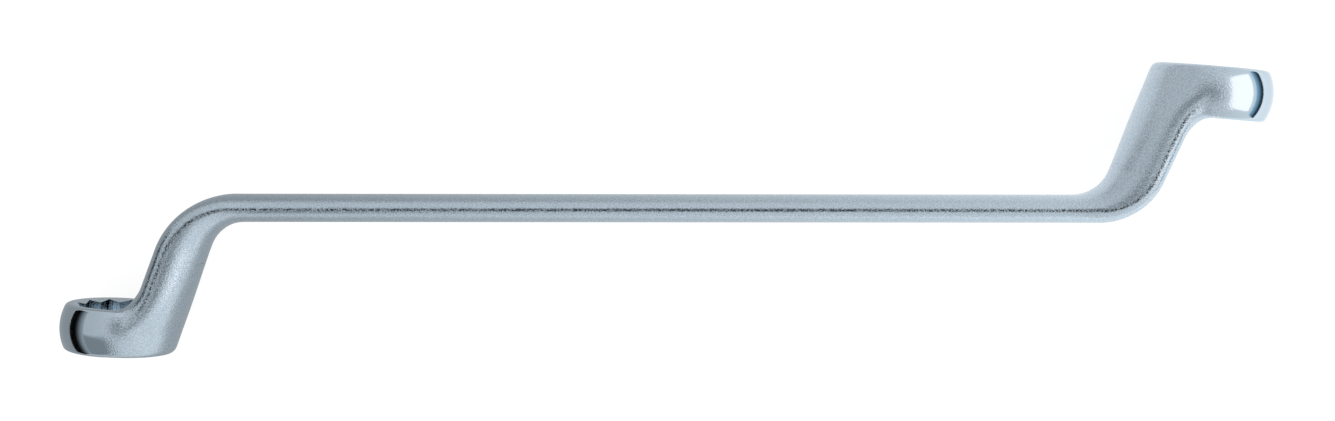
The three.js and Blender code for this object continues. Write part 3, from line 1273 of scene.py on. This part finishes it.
@dataclass(frozen=True)
class Softbox:
    """A soft rectangular lamp."""

    name: str
    centre: tuple[float, float, float]
    aim: tuple[float, float, float]
    size: tuple[float, float]
    radiance: float
    tint: tuple[float, float, float] = (1.0, 0.89, 0.85)

    def build(self) -> None:
        """Build the lamp, turned to what it is aimed at."""
        data = bpy.data.lights.new(self.name, "AREA")
        data.shape = "RECTANGLE"
        data.color = self.tint
        data.size, data.size_y = self.size
        data.energy = self.radiance * math.pi * self.size[0] * self.size[1]
        lamp = bpy.data.objects.new(self.name, data)
        lamp.location = self.centre
        way = Vector(self.aim) - Vector(self.centre)
        lamp.rotation_euler = way.to_track_quat("-Z", "Y").to_euler()
        bpy.context.collection.objects.link(lamp)


@dataclass(frozen=True)
class Studio:
    """A pale bench under a soft dome, with a key lamp on the right and dark cards for the metal."""

    floor_size: float = 6.0
    floor_albedo: float = 0.29
    floor_glow: float = 0.82
    dome_left: float = 0.73
    dome_level: float = 0.80
    dome_right: float = 1.06
    dome_from: float = -0.7
    dome_to: float = 0.9

    def build(self, spanner: "Spanner", camera: Object) -> None:
        """Build floor, dome, lamp and cards.

        Args:
            spanner: The tool, for the places of its rings.
            camera: The camera, which stands in a dark hood.
        """
        left = spanner.lower.seat.translation
        right = spanner.upper.seat.translation
        self._build_floor()
        self._build_dome()
        Softbox(
            "soft_key", centre=(right.x + 0.175, right.y, 0.204), aim=(right.x, right.y, 0.0295),
            size=(0.325, 0.2145), radiance=0.78,
        ).build()
        cards = (
            Card(
                "camera_hood", centre=tuple(camera.location), facing=(0.0, 0.0, -1.0), size=(0.44, 0.44),
                shading=Shading.ROUND, dark_to=0.35, light_from=0.90,
                dark_tone=0.30, light_tone=self.dome_level,
            ),
            Card(
                "bench_card", centre=(0.0, 0.0, 0.0005), facing=(0.0, 0.0, 1.0), size=(0.92, 0.92),
                shading=Shading.ACROSS, dark_to=0.31, light_from=0.80,
                dark_tone=0.44, light_tone=1.38, spin=-28.0,
            ),
            Card(
                "left_flag", centre=(left.x - 0.115, left.y - 0.010, 0.0605), facing=(1.0, 0.0, 0.0),
                size=(0.25, 0.083), shading=Shading.UPWARD, dark_to=0.38, light_from=1.0,
                dark_tone=0.0, light_tone=0.52, tint=(0.78, 0.91, 1.0),
            ),
            Card(
                "right_flag", centre=(right.x + 0.25, right.y, 0.044), facing=(-1.0, 0.0, 0.0),
                size=(0.36, 0.088), shading=Shading.UPWARD, dark_to=0.20, light_from=1.0,
                dark_tone=0.03, light_tone=0.85, tint=(0.36, 0.71, 1.0),
            ),
            Card(
                "front_flag", centre=(left.x - 0.445, left.y - 0.505, 0.50), facing=(0.0, 0.0, -1.0),
                size=(0.85, 0.89), shading=Shading.UPWARD, dark_to=0.88, light_from=1.0,
                dark_tone=0.36, light_tone=self.dome_level, tint=(0.82, 0.93, 1.0),
            ),
        )
        for card in cards:
            card.build()

    def _build_floor(self) -> None:
        """Build the bench: white to the eye and in the metal, and it keeps the shadow."""
        bpy.ops.object.select_all(action="DESELECT")
        bpy.ops.mesh.primitive_plane_add(size=self.floor_size)
        floor = bpy.context.object
        floor.name = "bench_top"
        material, graph, both = new_material("bench_white", "ShaderNodeAddShader")
        paint = graph.add("ShaderNodeBsdfDiffuse")
        paint.inputs["Color"].default_value = (*(self.floor_albedo / tone for tone in COOL_WHITE), 1.0)
        glow = graph.add("ShaderNodeEmission")
        path = graph.add("ShaderNodeLightPath")
        seen = graph.math("MAXIMUM", path.outputs["Is Camera Ray"], path.outputs["Is Glossy Ray"])
        seen = graph.math("MAXIMUM", seen, path.outputs["Is Transmission Ray"])
        graph.link(graph.math("MULTIPLY", seen, self.floor_glow), glow.inputs["Strength"])
        graph.link(paint.outputs[0], both.inputs[0])
        graph.link(glow.outputs[0], both.inputs[1])
        floor.data.materials.append(material)

    def _build_dome(self) -> None:
        """Build the soft light from all round, a little stronger from the right."""
        world = bpy.data.worlds.new("soft_dome")
        bpy.context.scene.world = world
        world.use_nodes = True
        graph = Graph(world.node_tree)
        output = graph.add("ShaderNodeOutputWorld")
        light = graph.add("ShaderNodeBackground")
        seen = graph.add("ShaderNodeLightPath").outputs["Is Camera Ray"]
        graph.link(graph.blend(seen, (*COOL_WHITE, 1.0), (1.0, 1.0, 1.0, 1.0)), light.inputs["Color"])
        along = graph.axis("Generated", "X")
        level = graph.ease(along, self.dome_from, self.dome_to, self.dome_left, self.dome_right)
        graph.link(graph.math("MAXIMUM", level, seen), light.inputs["Strength"])
        graph.link(light.outputs[0], output.inputs["Surface"])


class Spanner:
    """The whole tool: two ends and the bar between them, one skin for each zone of the forging."""

    BORE_SLOT = 1
    POLISH_INSET = 0.0006

    def __init__(self, forging: ForgingSizes, fine: Fineness) -> None:
        """Lay out the two ends about the shank's own place in the frame.

        Args:
            forging: The sizes that the whole forging shares.
            fine: How fine the skins are.
        """
        low, high = (Vector(corner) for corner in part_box(Zone.SHANK.value))
        self.shank_centre = 0.5 * (low + high)
        middle = Matrix.Translation((0.0, self.shank_centre.y, self.shank_centre.z))
        self.lower = RingEnd("lower", LOWER_SIZES, forging, fine, middle)
        turned = middle @ Matrix.Rotation(math.pi, 4, "Z")
        self.upper = RingEnd("upper", UPPER_SIZES, forging, fine, turned)
        self.shank = Shank(self.lower, self.upper)

    def build(self) -> dict[Zone, Object]:
        """Build every skin, by the zone that it stands for."""
        return {
            Zone.LOWER_HEAD: self.lower.build_head(),
            Zone.LOWER_CRANK: self.lower.build_crank(),
            Zone.SHANK: self.shank.build(),
            Zone.UPPER_CRANK: self.upper.build_crank(),
            Zone.UPPER_HEAD: self.upper.build_head(),
        }

    def dress(self, skins: dict[Zone, Object]) -> None:
        """Give each skin its finish, hide the node that it stands for, and tie it to its body.

        Args:
            skins: The skins, by zone.
        """
        grain = build_grain_group()
        lower_x = self.lower.seat.translation.x + self.POLISH_INSET
        upper_x = self.upper.seat.translation.x
        parting = PartingLine(self.lower, self.upper, PartingSizes())
        satin = ChromeFinish("satin_chrome").build(grain)
        lower_chrome = ChromeFinish("lower_ring_chrome", polish_from=lower_x, polish_side=-1.0)
        upper_chrome = ChromeFinish("upper_ring_chrome", polish_from=upper_x)
        finishes = {Zone.LOWER_HEAD: lower_chrome.build(grain), Zone.UPPER_HEAD: upper_chrome.build(grain)}
        broached = BroachedFinish().build()
        ends = {Zone.LOWER_HEAD: self.lower, Zone.UPPER_HEAD: self.upper}
        for zone, skin in skins.items():
            skin.data.materials.clear()
            skin.data.materials.append(finishes.get(zone, satin))
            parting.mark(skin)
            if zone in ends:
                skin.data.materials.append(broached)
                ends[zone].mark_bore(skin, self.BORE_SLOT)
            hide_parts(zone.value)
            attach(skin, BODY)
            LOG.info("%s: %d faces", skin.name, len(skin.data.polygons))


def main() -> None:
    """Build the spanner, the studio and the camera."""
    logging.basicConfig(level=logging.INFO, format="%(name)s: %(message)s")
    bpy.context.scene.view_settings.view_transform = "Standard"
    spanner = Spanner(ForgingSizes(), Fineness())
    camera = Lens().build(spanner.shank_centre)
    Studio().build(spanner, camera)
    spanner.dress(spanner.build())


if __name__ == "__main__":
    main()
